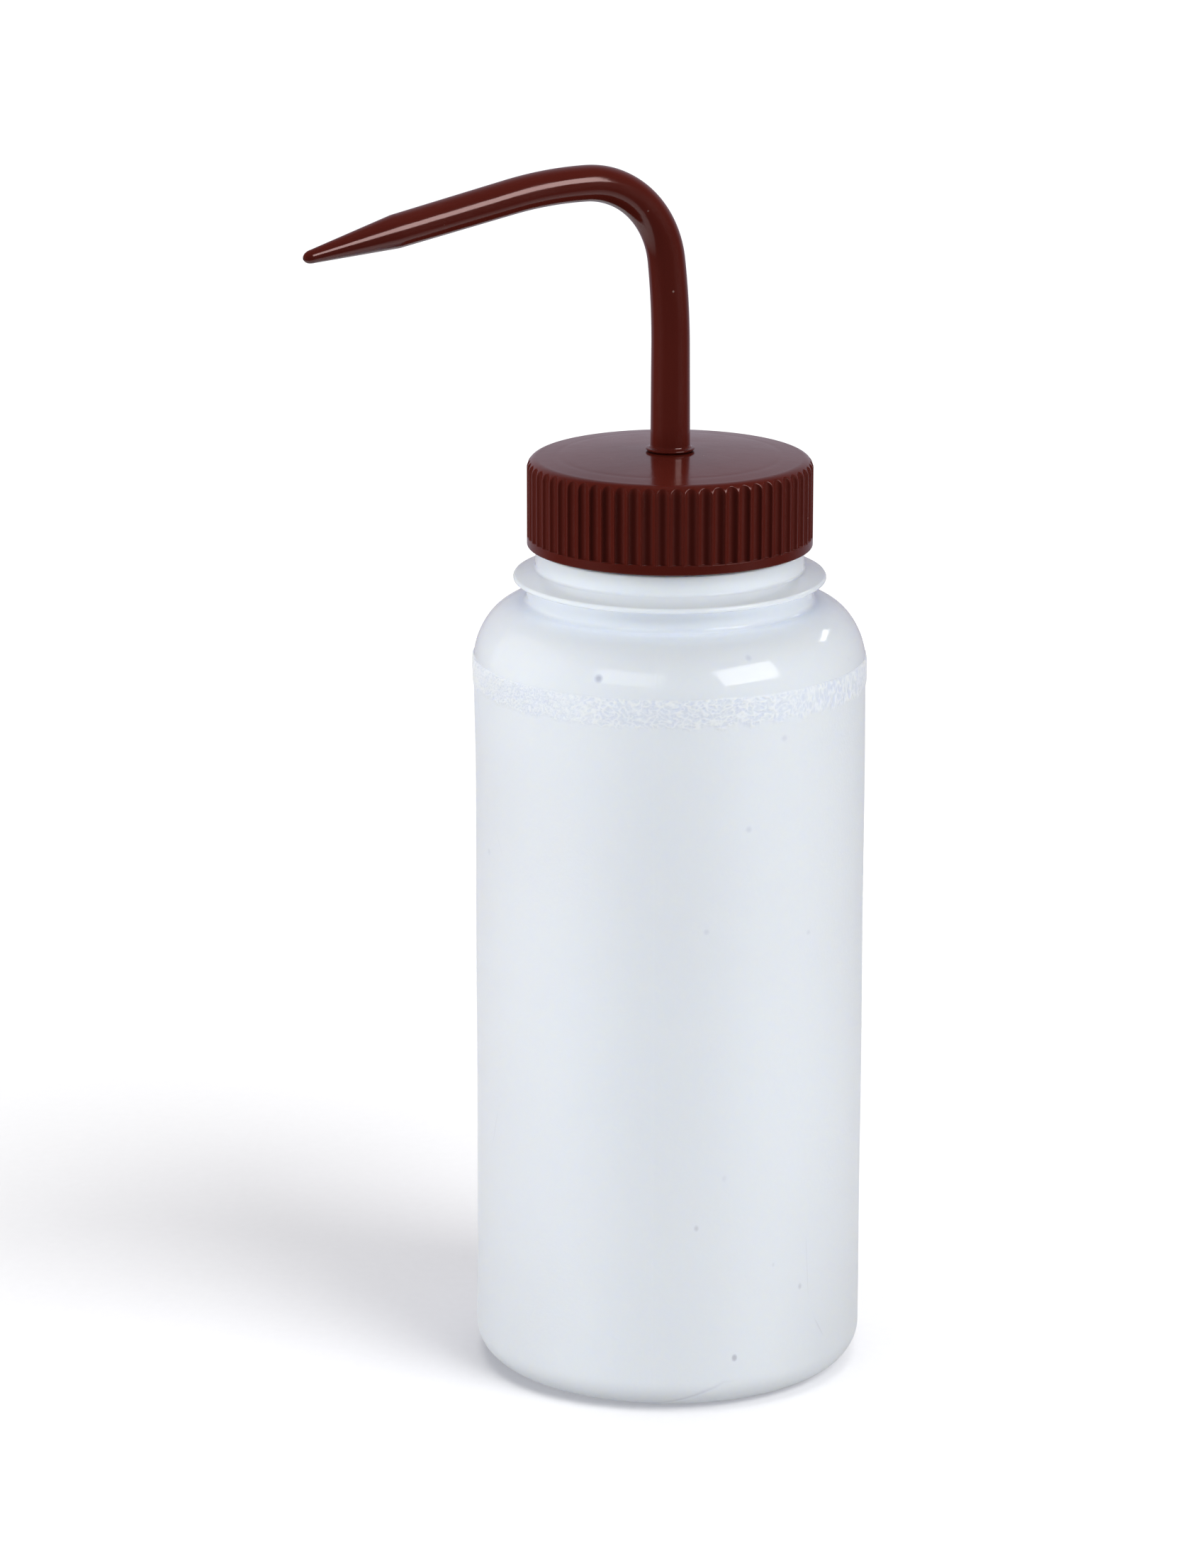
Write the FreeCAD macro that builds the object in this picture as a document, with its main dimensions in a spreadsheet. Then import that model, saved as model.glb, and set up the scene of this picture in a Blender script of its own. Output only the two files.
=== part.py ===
import FreeCAD, Part
import math
import os
import Sketcher

# Wide-mouth wash bottle: a blow-moulded bottle, a fluted screw cap, a swivelling
# bent spout and a dip tube.  Millimetres, +Z up, origin at the centre of the
# standing ring, spout's arm swung from -X towards -Y, cap screwed home.

doc = FreeCAD.newDocument("wash_bottle")

DIMENSIONS = {
    # bottle body
    "body_radius": 37.0,
    "body_top": 136.9,
    "wall": 1.1,
    "base_corner": 6.0,
    "ring_inner": 29.0,
    "push_up": 2.2,
    # shoulder: a wide lower arc running into a tighter upper arc
    "shoulder_low_bend": 14.0,
    "shoulder_high_bend": 9.2,
    "shoulder_top": 148.9,
    # neck, from the shoulder to the rim
    "step_radius": 26.9,
    "step_wall": 1.3,
    "flange_radius": 29.4,
    "flange_under": 152.9,
    "flange_edge": 154.3,
    "flange_top": 155.4,
    "collar_radius": 25.2,
    "collar_top": 159.1,
    "finish_radius": 23.1,
    "mouth_radius": 21.5,
    "rim_height": 174.5,
    # screw thread shared by the bottle and the cap
    "thread_pitch": 4.2,
    "thread_turns": 1.5,
    "thread_start": 163.0,
    "thread_depth": 1.2,
    "thread_foot": 2.2,
    "thread_crest": 1.0,
    # cap
    "cap_radius": 26.8,
    "cap_bottom": 159.6,
    "cap_edge": 176.0,
    "cap_crown": 1.2,
    "cap_round": 2.1,
    "skirt_bore": 24.75,
    "skirt_mouth": 25.3,
    "plate_under": 174.6,
    "plug_outer": 21.42,
    "plug_inner": 20.1,
    "plug_tip": 171.4,
    "hub_hole": 3.4,
    "flute_count": 64,
    "flute_radius": 1.3,
    "flute_depth": 0.7,
    "flute_floor": 161.4,
    # spout
    "foot_radius": 4.55,
    "foot_bottom": 177.3,
    "foot_height": 0.55,
    "stem_radius": 3.73,
    "stem_bottom": 177.7,
    "bend_start": 197.2,
    "lean_radius": 137.0,
    "lean_angle": 6.8,
    "elbow_radius": 18.0,
    "elbow_angle": 81.6,
    "droop_radius": 81.3,
    "droop_angle": 11.5,
    "arm_length": 24.2,
    "arm_radius": 3.1,
    "nozzle_length": 17.1,
    "nozzle_radius": 1.25,
    "spout_swing": 32.0,
    "nib_length": 1.9,
    "jet_radius": 0.4,
    "stem_bore": 2.5,
    "arm_bore": 2.0,
    "journal_radius": 3.35,
    "snap_radius": 3.9,
    "snap_bottom": 173.0,
    "spigot_radius": 2.26,
    "spigot_bore": 1.45,
    "spigot_tip": 158.0,
    # dip tube
    "tube_radius": 3.2,
    "tube_bore": 2.3,
    "tube_bottom": 5.0,
    "tube_top": 172.9,
}


def fill_sheet():
    """Write each driving dimension into a cell of its own, named by an alias."""
    sheet = doc.addObject("Spreadsheet::Sheet", "dims")
    for row, (alias, value) in enumerate(DIMENSIONS.items(), start=1):
        sheet.set("A%d" % row, alias)
        sheet.set("B%d" % row, str(value))
        sheet.setAlias("B%d" % row, alias)
    doc.recompute()
    return sheet


dims = fill_sheet()


def named(formula):
    """Spell a formula of aliases the way the expression engine wants it."""
    words = []
    for word in formula.split():
        words.append("dims." + word if word in DIMENSIONS else word)
    return " ".join(words)


def value(formula):
    """The present value of a formula of aliases."""
    return float(dims.evalExpression(named(formula)))


def new_body(name):
    body = doc.addObject("PartDesign::Body", name)
    body.Label = name
    return body


def origin_feature(body, role):
    for feature in body.Origin.OriginFeatures:
        if feature.Role == role:
            return feature
    raise ValueError("no origin feature " + role)


def new_sketch(body, name, plane, height=None):
    """A sketch on one of the body's own origin planes, raised by a formula if asked."""
    sketch = body.newObject("Sketcher::SketchObject", name)
    sketch.AttachmentSupport = [(origin_feature(body, plane), "")]
    sketch.MapMode = "FlatFace"
    if height:
        sketch.setExpression("AttachmentOffset.Base.z", named(height))
    doc.recompute()
    return sketch


def bind(sketch, constraint, formula):
    """Add a constraint whose size follows a formula of aliases."""
    index = sketch.addConstraint(constraint)
    sketch.setExpression("Constraints[%d]" % index, named(formula))


def place_vertex(sketch, edge, end, across, along):
    """Hold one end of an edge at two formulas; a formula in brackets is a start only."""
    if across == "0":
        sketch.addConstraint(Sketcher.Constraint("PointOnObject", edge, end, -2))
    elif across[0] != "[":
        size = value(across)
        bind(sketch, Sketcher.Constraint("DistanceX", -1, 1, edge, end, size), across)
    if along == "0":
        sketch.addConstraint(Sketcher.Constraint("PointOnObject", edge, end, -1))
    elif along[0] != "[":
        size = value(along)
        bind(sketch, Sketcher.Constraint("DistanceY", -1, 1, edge, end, size), along)


def arc_between(first, last, radius, side):
    """An arc from first to last; side +1 has its centre to the left of the way."""
    chord = last - first
    half = chord.Length / 2
    reach = math.sqrt(max(radius * radius - half * half, 0.0))
    normal = FreeCAD.Vector(-chord.y, chord.x, 0).normalize()
    centre = (first + last) * 0.5 + normal * (reach * side)
    start, end = (first, last) if side > 0 else (last, first)
    begin = math.atan2(start.y - centre.y, start.x - centre.x)
    finish = math.atan2(end.y - centre.y, end.x - centre.x)
    circle = Part.Circle(centre, FreeCAD.Vector(0, 0, 1), radius)
    return Part.ArcOfCircle(circle, begin, finish)


def draw(sketch, corners, closed=True):
    """Draw an outline.

    Each corner is (across, along, edge): edge says how the outline leaves the
    corner, "line", or (radius formula, side) for an arc, with "smooth" added
    where the outline runs through the corner without a kink.
    """
    points = []
    for across, along, *rest in corners:
        x = value(across.strip("[]"))
        y = value(along.strip("[]"))
        points.append(FreeCAD.Vector(x, y, 0))
    count = len(corners) if closed else len(corners) - 1
    ends = []
    for i in range(count):
        first = points[i]
        last = points[(i + 1) % len(points)]
        how = corners[i][2]
        if how == "line":
            index = sketch.addGeometry(Part.LineSegment(first, last), False)
            ends.append((index, 1, 2))
        else:
            radius, side = how
            arc = arc_between(first, last, value(radius), side)
            index = sketch.addGeometry(arc, False)
            ends.append((index, 1, 2) if side > 0 else (index, 2, 1))
    for i in range(count):
        before = ends[i - 1]
        here = ends[i]
        if i == 0 and not closed:
            continue
        kind = "Tangent" if "smooth" in corners[i][3:] else "Coincident"
        sketch.addConstraint(Sketcher.Constraint(kind, before[0], before[2], here[0], here[1]))
    for i in range(count):
        place_vertex(sketch, ends[i][0], ends[i][1], corners[i][0], corners[i][1])
        if corners[i][2] != "line":
            radius = corners[i][2][0]
            bind(sketch, Sketcher.Constraint("Radius", ends[i][0], value(radius)), radius)
    if not closed:
        place_vertex(sketch, ends[-1][0], ends[-1][2], corners[-1][0], corners[-1][1])
    doc.recompute()
    return ends


def draw_circle(sketch, across, radius):
    """A circle on the sketch's horizontal axis."""
    centre = FreeCAD.Vector(value(across), 0, 0)
    circle = Part.Circle(centre, FreeCAD.Vector(0, 0, 1), value(radius))
    index = sketch.addGeometry(circle, False)
    if across == "0":
        sketch.addConstraint(Sketcher.Constraint("Coincident", index, 3, -1, 1))
    else:
        sketch.addConstraint(Sketcher.Constraint("PointOnObject", index, 3, -1))
        bind(sketch, Sketcher.Constraint("DistanceX", -1, 1, index, 3, value(across)), across)
    bind(sketch, Sketcher.Constraint("Radius", index, value(radius)), radius)
    doc.recompute()


def turn(body, name, sketch):
    """Revolve a sketch once around the upright axis."""
    feature = body.newObject("PartDesign::Revolution", name)
    feature.Profile = sketch
    feature.ReferenceAxis = (sketch, ["V_Axis"])
    feature.Angle = 360
    sketch.Visibility = False
    doc.recompute()
    return feature


def add_thread(body, name, sketch):
    """Wind a tooth of thread up around the upright axis, right-handed."""
    feature = body.newObject("PartDesign::AdditiveHelix", name)
    feature.Profile = sketch
    feature.ReferenceAxis = (sketch, ["V_Axis"])
    feature.Mode = "pitch-turns-angle"
    feature.setExpression("Pitch", named("thread_pitch"))
    feature.setExpression("Turns", named("thread_turns"))
    feature.LeftHanded = False
    sketch.Visibility = False
    doc.recompute()
    return feature


def tooth(sketch, root, crest, level):
    """The tooth's outline, from its root to its crest, centred on a level."""
    draw(sketch, [
        (root, level + " - thread_foot / 2", "line"),
        (crest, level + " - thread_crest / 2", "line"),
        (crest, level + " + thread_crest / 2", "line"),
        (root, level + " + thread_foot / 2", "line"),
    ])


def push_up_bend(rise, reach):
    """Radius of an arc that rises to the axis from a reach."""
    square = reach + " * " + reach + " + " + rise + " * " + rise
    return "( " + square + " ) / ( 2 * " + rise + " )"


def make_bottle():
    """Blow-moulded bottle: pushed-up base, straight wall, shoulder, flange and neck."""
    body = new_body("bottle")
    wall = new_sketch(body, "bottle_wall", "XZ_Plane")
    base_bend = push_up_bend("push_up", "ring_inner")
    low = "shoulder_low_bend"
    high = "shoulder_high_bend"
    draw(wall, [
        ("0", "push_up", (base_bend, -1)),
        ("ring_inner", "0", "line"),
        ("body_radius - base_corner", "0", ("base_corner", 1)),
        ("body_radius", "base_corner", "line"),
        ("body_radius", "body_top", (low, 1)),
        ("[body_radius - 2.6]", "[body_top + 8.2]", (high, 1), "smooth"),
        ("step_radius", "shoulder_top", "line"),
        ("step_radius", "flange_under", "line"),
        ("flange_radius - 0.3", "flange_under", "line"),
        ("flange_radius", "flange_under + 0.3", "line"),
        ("flange_radius", "flange_edge - 0.3", "line"),
        ("flange_radius - 0.3", "flange_edge", "line"),
        ("collar_radius", "flange_top", "line"),
        ("collar_radius", "collar_top - 0.4", "line"),
        ("collar_radius - 0.4", "collar_top", "line"),
        ("finish_radius", "collar_top", "line"),
        ("finish_radius", "rim_height - 0.4", "line"),
        ("finish_radius - 0.4", "rim_height", "line"),
        ("mouth_radius + 0.3", "rim_height", "line"),
        ("mouth_radius", "rim_height - 0.3", "line"),
        ("mouth_radius", "flange_edge", "line"),
        ("step_radius - step_wall", "shoulder_top + 1.5", "line"),
        ("step_radius - step_wall", "shoulder_top - wall - 0.5", "line"),
        ("step_radius", "shoulder_top - wall", (high + " - wall", -1)),
        ("[body_radius - 3.5]", "[body_top + 7.6]", (low + " - wall", -1), "smooth"),
        ("body_radius - wall", "body_top", "line"),
        ("body_radius - wall", "base_corner", ("base_corner - wall", -1)),
        ("body_radius - base_corner", "wall", "line"),
        ("ring_inner", "wall + 0.1", (base_bend, 1)),
        ("0", "push_up + wall + 0.1", "line"),
    ])
    turn(body, "bottle_shell", wall)
    profile = new_sketch(body, "bottle_tooth", "XZ_Plane")
    tooth(profile, "finish_radius - 0.3", "finish_radius + thread_depth", "thread_start")
    add_thread(body, "bottle_thread", profile)
    return body


def make_cap():
    """Screw cap: fluted skirt, crowned top, plug seal, hub hole and inside thread."""
    body = new_body("cap")
    section = new_sketch(body, "cap_section", "XZ_Plane")
    reach = "cap_radius - cap_round - hub_hole"
    square = "( " + reach + " ) * ( " + reach + " ) + cap_crown * cap_crown"
    crown_bend = "( " + square + " ) / ( 2 * cap_crown )"
    draw(section, [
        ("hub_hole", "plate_under", "line"),
        ("plug_inner", "plate_under", "line"),
        ("plug_inner", "plug_tip", "line"),
        ("plug_outer - 0.5", "plug_tip", "line"),
        ("plug_outer", "plug_tip + 1", "line"),
        ("plug_outer", "plate_under", "line"),
        ("skirt_bore", "plate_under", "line"),
        ("skirt_bore", "cap_bottom + 0.8", "line"),
        ("skirt_mouth", "cap_bottom", "line"),
        ("cap_radius - 0.3", "cap_bottom", ("0.3", 1)),
        ("cap_radius", "cap_bottom + 0.3", "line"),
        ("cap_radius", "cap_edge - cap_round", ("cap_round", 1)),
        ("cap_radius - cap_round", "cap_edge", (crown_bend, 1)),
        ("hub_hole", "cap_edge + cap_crown", "line"),
    ])
    turn(body, "cap_shell", section)
    profile = new_sketch(body, "cap_tooth", "XZ_Plane")
    level = "thread_start - thread_pitch / 2"
    tooth(profile, "skirt_bore + 0.3", "skirt_bore - thread_depth", level)
    add_thread(body, "cap_thread", profile)
    circle = new_sketch(body, "flute_circle", "XY_Plane", "flute_floor")
    draw_circle(circle, "cap_radius - flute_depth + flute_radius", "flute_radius")
    flute = body.newObject("PartDesign::Pocket", "flute")
    flute.Profile = circle
    flute.Reversed = True
    flute.setExpression("Length", named("cap_edge - flute_floor + 1"))
    circle.Visibility = False
    doc.recompute()
    flutes = body.newObject("PartDesign::PolarPattern", "flutes")
    flutes.Originals = [flute]
    flutes.Axis = (circle, ["N_Axis"])
    flutes.Angle = 360
    flutes.setExpression("Occurrences", named("flute_count"))
    body.Tip = flutes
    doc.recompute()
    return body


def draw_route(body):
    """The spout's centre line: stem, three arcs that run into each other, and arm."""
    route = new_sketch(body, "spout_route", "XZ_Plane")
    lean = "lean_angle * 1 deg"
    second = "( lean_angle + elbow_angle ) * 1 deg"
    third = "( lean_angle + elbow_angle + droop_angle ) * 1 deg"
    turns = [("lean_radius", "0 deg", lean), ("elbow_radius", lean, second),
             ("droop_radius", second, third)]
    across = "0"
    along = "bend_start"
    corners = [("0", "stem_bottom", "line"), (across, along, ("lean_radius", 1))]
    for i, (radius, start, end) in enumerate(turns):
        across += " - " + radius + " * ( cos( " + start + " ) - cos( " + end + " ) )"
        along += " + " + radius + " * ( sin( " + end + " ) - sin( " + start + " ) )"
        leave = (turns[i + 1][0], 1) if i < 2 else "line"
        corners.append((across, along, leave))
    across += " - arm_length * sin( " + third + " )"
    along += " + arm_length * cos( " + third + " )"
    corners.append((across, along))
    draw(route, corners, closed=False)
    route.Visibility = False
    return route


def pipe_section(body, name, route, end, radius):
    """A circle square to the route, at its foot or at the arm's end."""
    sketch = body.newObject("Sketcher::SketchObject", name)
    edge = "Edge5" if end else "Edge1"
    sketch.AttachmentSupport = [(route, edge)]
    sketch.MapMode = "NormalToEdge"
    sketch.MapPathParameter = 1.0 if end else 0.0
    doc.recompute()
    draw_circle(sketch, "0", radius)
    sketch.Visibility = False
    return sketch


def pipe(body, kind, name, route, first, last):
    """A tapering pipe along the whole route."""
    feature = body.newObject(kind, name)
    feature.Profile = first
    feature.Spine = (route, ["Edge%d" % (i + 1) for i in range(5)])
    feature.Transformation = "Multisection"
    feature.Sections = [last]
    feature.Mode = "Frenet"
    doc.recompute()
    return feature


def on_arm(body, kind, name, route, offset, sizes):
    """A primitive whose axis carries on from the arm's end, moved along it."""
    feature = body.newObject(kind, name)
    feature.AttachmentSupport = [(route, "Edge5")]
    feature.MapMode = "NormalToEdge"
    feature.MapPathParameter = 1.0
    feature.MapReversed = True
    feature.setExpression("AttachmentOffset.Base.z", named(offset))
    for size, formula in sizes.items():
        feature.setExpression(size, named(formula))
    doc.recompute()
    return feature


def make_spout():
    """Bent spout: spigot, snap ring, journal and foot, a tapering bent tube, a nozzle."""
    body = new_body("spout")
    route = draw_route(body)
    hub = new_sketch(body, "spout_hub", "XZ_Plane")
    draw(hub, [
        ("0", "spigot_tip", "line"),
        ("spigot_radius - 0.3", "spigot_tip", "line"),
        ("spigot_radius", "spigot_tip + 1", "line"),
        ("spigot_radius", "snap_bottom", "line"),
        ("journal_radius", "snap_bottom", "line"),
        ("snap_radius", "snap_bottom + 0.8", "line"),
        ("snap_radius", "plate_under - 0.1", "line"),
        ("journal_radius", "plate_under - 0.1", "line"),
        ("journal_radius", "foot_bottom", "line"),
        ("foot_radius", "foot_bottom", "line"),
        ("foot_radius", "foot_bottom + foot_height - 0.2", "line"),
        ("foot_radius - 0.2", "foot_bottom + foot_height", "line"),
        ("stem_radius + 0.45", "foot_bottom + foot_height", ("0.5", -1)),
        ("stem_radius - 0.02", "foot_bottom + foot_height + 0.45", "line"),
        ("0", "foot_bottom + foot_height + 0.45", "line"),
    ])
    turn(body, "hub", hub)
    outer_foot = pipe_section(body, "stem_circle", route, 0, "stem_radius")
    outer_end = pipe_section(body, "arm_circle", route, 1, "arm_radius")
    pipe(body, "PartDesign::AdditivePipe", "tube", route, outer_foot, outer_end)
    cone = {"Radius1": "arm_radius", "Radius2": "nozzle_radius", "Height": "nozzle_length"}
    on_arm(body, "PartDesign::AdditiveCone", "nozzle", route, "0", cone)
    nib = {"Radius1": "nib_length", "Radius2": "nozzle_radius", "Radius3": "nozzle_radius"}
    on_arm(body, "PartDesign::AdditiveEllipsoid", "nib", route, "nozzle_length", nib)
    inner_foot = pipe_section(body, "stem_bore_circle", route, 0, "stem_bore")
    inner_end = pipe_section(body, "arm_bore_circle", route, 1, "arm_bore")
    pipe(body, "PartDesign::SubtractivePipe", "tube_bore", route, inner_foot, inner_end)
    taper = {"Radius1": "arm_bore", "Radius2": "jet_radius", "Height": "nozzle_length"}
    on_arm(body, "PartDesign::SubtractiveCone", "nozzle_bore", route, "0", taper)
    jet = {"Radius": "jet_radius", "Height": "nib_length + 1.5"}
    on_arm(body, "PartDesign::SubtractiveCylinder", "jet", route, "nozzle_length - 0.5", jet)
    well = new_sketch(body, "spigot_bore_circle", "XY_Plane", "spigot_tip - 1")
    draw_circle(well, "0", "spigot_bore")
    bore = body.newObject("PartDesign::Pocket", "spigot_bore_hole")
    bore.Profile = well
    bore.Reversed = True
    bore.setExpression("Length", named("stem_bottom - spigot_tip + 3"))
    well.Visibility = False
    body.Tip = bore
    body.setExpression("Placement.Rotation.Angle", named("spout_swing * 1 deg"))
    doc.recompute()
    return body


def make_dip_tube():
    """Straight drawn tube, cut square at both ends."""
    body = new_body("dip_tube")
    ring = new_sketch(body, "tube_ring", "XY_Plane", "tube_bottom")
    draw_circle(ring, "0", "tube_radius")
    draw_circle(ring, "0", "tube_bore")
    length = body.newObject("PartDesign::Pad", "tube_length")
    length.Profile = ring
    length.setExpression("Length", named("tube_top - tube_bottom"))
    ring.Visibility = False
    body.Tip = length
    doc.recompute()
    return body


def check(body):
    """Refuse a body that did not build into one sound solid."""
    for item in [body] + body.Group:
        bad = [word for word in item.State if word in ("Invalid", "Error")]
        if bad:
            raise RuntimeError("%s is %s" % (item.Name, bad))
    shape = body.Shape
    if shape.isNull() or not shape.isValid() or len(shape.Solids) != 1:
        raise RuntimeError("%s is not one sound solid" % body.Label)


os.makedirs("parts", exist_ok=True)
for make in (make_bottle, make_cap, make_spout, make_dip_tube):
    made = make()
    check(made)
    made.Shape.exportStep("parts/%s.step" % made.Label)
    print(made.Label, round(made.Shape.Volume, 1), made.Shape.BoundBox)
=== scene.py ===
import math
import bpy
import numpy as np
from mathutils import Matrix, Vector, noise


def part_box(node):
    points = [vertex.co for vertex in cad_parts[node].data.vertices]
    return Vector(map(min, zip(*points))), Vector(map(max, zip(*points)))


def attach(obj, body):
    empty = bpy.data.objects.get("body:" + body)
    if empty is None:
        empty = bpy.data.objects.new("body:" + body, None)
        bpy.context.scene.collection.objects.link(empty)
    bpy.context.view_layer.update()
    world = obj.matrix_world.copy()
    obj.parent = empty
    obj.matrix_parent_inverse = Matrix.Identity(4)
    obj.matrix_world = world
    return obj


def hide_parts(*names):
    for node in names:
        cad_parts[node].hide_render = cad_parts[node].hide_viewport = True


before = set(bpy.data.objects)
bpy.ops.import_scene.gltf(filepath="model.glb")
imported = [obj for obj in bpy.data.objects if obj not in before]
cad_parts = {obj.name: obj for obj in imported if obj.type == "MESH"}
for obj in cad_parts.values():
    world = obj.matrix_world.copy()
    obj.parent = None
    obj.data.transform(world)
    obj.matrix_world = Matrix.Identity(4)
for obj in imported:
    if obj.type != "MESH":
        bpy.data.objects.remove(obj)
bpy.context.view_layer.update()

# A wash bottle: milky blow-moulded bottle, maroon fluted cap, maroon bent spout and
# a dip tube.  The frame gives the sizes of the pieces; shapes are drawn in
# millimetres in the row frame and scaled to metres when a mesh is made.
MM = 0.001


def top_of(node):
    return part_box(node)[1][2] / MM


def bottom_of(node):
    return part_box(node)[0][2] / MM


def reach_of(node):
    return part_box(node)[1][0] / MM


BODY = reach_of("bottle")
RIM = top_of("bottle")
CAP = reach_of("cap")
CAP_LOW = bottom_of("cap")
CAP_RAISED = 0.3    # the finished cap's top stands this much above the CAD cap's
CAP_HIGH = top_of("cap") + CAP_RAISED
SPIGOT_LOW = bottom_of("spout")

WALL = 1.1
CORNER = 6.0
RING = 29.0         # inner radius of the ring that the bottle stands on
PUSH_UP = 2.2       # rise of the base's middle above that ring
BODY_TOP = RIM - 37.6
SHOULDER = BODY_TOP + 12.0
LOW_BEND = 14.0     # radius of the shoulder's wide lower arc
HIGH_BEND = 9.2     # radius of its tighter upper arc
JOIN = math.degrees(math.atan2(2.8, 3.9))    # where one arc runs into the other
STEP = 26.9
FLANGE = 29.4
COLLAR = 25.2
FINISH = 23.1
MOUTH = 21.5
PITCH = 4.2
TURNS = 1.5
THREAD = 1.2
THREAD_START = RIM - 11.5


# ---------------------------------------------------------------- profiles

def straight(start, end, count):
    """Points from start up to, but not at, end, closer together near both ends."""
    ease = 0.5 - 0.5 * np.cos(np.pi * np.arange(count) / count)
    return [(start[0] + (end[0] - start[0]) * e, start[1] + (end[1] - start[1]) * e)
            for e in ease]


def bend(centre, radius, first, last, count):
    """Points of an arc from angle first up to, but not at, angle last, in degrees."""
    steps = np.radians(first + (last - first) * np.arange(count) / count)
    return [(centre[0] + radius * math.cos(a), centre[1] + radius * math.sin(a))
            for a in steps]


def polyline(corners, count):
    """Straight runs through corners, the last corner left out."""
    points = []
    for start, end in zip(corners, corners[1:]):
        points += straight(start, end, count)
    return points


# ---------------------------------------------------------------- meshes

def grid_mesh(name, points, poles, loop):
    """A mesh from rings of points; poles closes the first and last ring to a point."""
    rows, segments = points.shape[:2]
    verts = points.reshape(-1, 3)
    ring = np.arange(segments)
    after = (ring + 1) % segments
    last = rows if loop else rows - 1
    quads = []
    for i in range(last):
        low = i * segments
        high = ((i + 1) % rows) * segments
        quads.append(np.stack([low + ring, low + after, high + after, high + ring], 1))
    faces = np.concatenate(quads)
    sides = np.full(len(faces), 4)
    corners = faces.reshape(-1)
    if poles:
        top = (rows - 1) * segments
        ends = np.array([points[0].mean(0), points[-1].mean(0)])
        below = np.stack([after, ring, np.full(segments, len(verts))], 1)
        above = np.stack([top + ring, top + after, np.full(segments, len(verts) + 1)], 1)
        verts = np.concatenate([verts, ends])
        caps = np.concatenate([below, above])
        corners = np.concatenate([corners, caps.reshape(-1)])
        sides = np.concatenate([sides, np.full(len(caps), 3)])
    mesh = bpy.data.meshes.new(name)
    mesh.vertices.add(len(verts))
    mesh.vertices.foreach_set("co", (verts * MM).astype(np.float32).reshape(-1))
    mesh.loops.add(len(corners))
    mesh.loops.foreach_set("vertex_index", corners.astype(np.int32))
    mesh.polygons.add(len(sides))
    starts = np.concatenate([[0], np.cumsum(sides)[:-1]])
    mesh.polygons.foreach_set("loop_start", starts.astype(np.int32))
    mesh.polygons.foreach_set("use_smooth", np.ones(len(sides), bool))
    mesh.update()
    mesh.validate()
    piece = bpy.data.objects.new(name, mesh)
    bpy.context.collection.objects.link(piece)
    return piece


def rings(profile, segments, radii=None):
    """Rings of points round the Z axis; radii replaces the profile's own radii."""
    profile = np.array(profile)
    around = 2 * np.pi * np.arange(segments) / segments
    if radii is None:
        radii = np.repeat(profile[:, :1], segments, 1)
    points = np.empty((len(profile), segments, 3))
    points[:, :, 0] = radii * np.cos(around)
    points[:, :, 1] = radii * np.sin(around)
    points[:, :, 2] = profile[:, 1:2]
    return points


def thread_height(heights, around, start):
    """How far a right-handed tooth of thread stands out, 0 to 1, over a grid."""
    stand = np.zeros((len(heights), len(around)))
    for turn in range(-1, 3):
        wound = around / (2 * np.pi) + turn
        level = start + PITCH * wound
        away = np.abs(heights[:, None] - level[None, :])
        tooth = np.clip((1.1 - away) / 0.6, 0, 1)
        fade = np.clip(np.minimum(wound, TURNS - wound) / 0.04, 0, 1)
        stand = np.maximum(stand, tooth * fade[None, :])
    return stand


# ---------------------------------------------------------------- bottle

def bottle_outside():
    """Outer profile, from the middle of the base up to the rim."""
    low_centre = (BODY - LOW_BEND, BODY_TOP)
    high_centre = (STEP, SHOULDER - HIGH_BEND)
    floor = BODY - CORNER
    points = [(RING * k / 24, PUSH_UP * (1 - (k / 24) ** 2)) for k in range(1, 24)]
    points += straight((RING, 0.0), (floor, 0.0), 5)
    points += bend((floor, CORNER), CORNER, -90, 0, 30)
    points += straight((BODY, CORNER), (BODY, BODY_TOP - 4.4), 70)
    points += [(BODY, BODY_TOP - 4.4 + 4.4 * k / 28) for k in range(28)]
    points += bend(low_centre, LOW_BEND, 0, JOIN, 58)
    fillet = 1.0
    root_rise = math.sqrt((HIGH_BEND + fillet) ** 2 - fillet ** 2)
    root_turn = math.degrees(math.atan2(root_rise, fillet))
    root = (STEP + fillet, high_centre[1] + root_rise)
    points += bend(high_centre, HIGH_BEND, JOIN, root_turn, 26)
    points += bend(root, fillet, root_turn - 180, -180, 8)
    points += straight((STEP, root[1]), (STEP, SHOULDER + 3.5), 6)
    points += bend((STEP + 0.5, SHOULDER + 3.5), 0.5, 180, 90, 5)
    points += straight((STEP + 0.5, SHOULDER + 4.0), (FLANGE - 0.4, SHOULDER + 4.1), 5)
    points += bend((FLANGE - 0.5, SHOULDER + 4.6), 0.5, -90, 60, 9)
    points += straight((FLANGE - 0.25, SHOULDER + 5.1), (COLLAR + 0.5, SHOULDER + 6.35), 8)
    points += bend((COLLAR + 0.5, SHOULDER + 6.85), 0.5, -90, -180, 5)
    points += straight((COLLAR, SHOULDER + 6.85), (COLLAR, SHOULDER + 9.8), 6)
    points += bend((COLLAR - 0.4, SHOULDER + 9.8), 0.4, 0, 90, 5)
    points += straight((COLLAR - 0.4, SHOULDER + 10.2), (FINISH, SHOULDER + 10.2), 4)
    points += [(FINISH, z) for z in np.linspace(SHOULDER + 10.2, RIM - 0.5, 86)]
    points += bend((FINISH - 0.5, RIM - 0.5), 0.5, 0, 90, 5)
    return points


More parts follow.
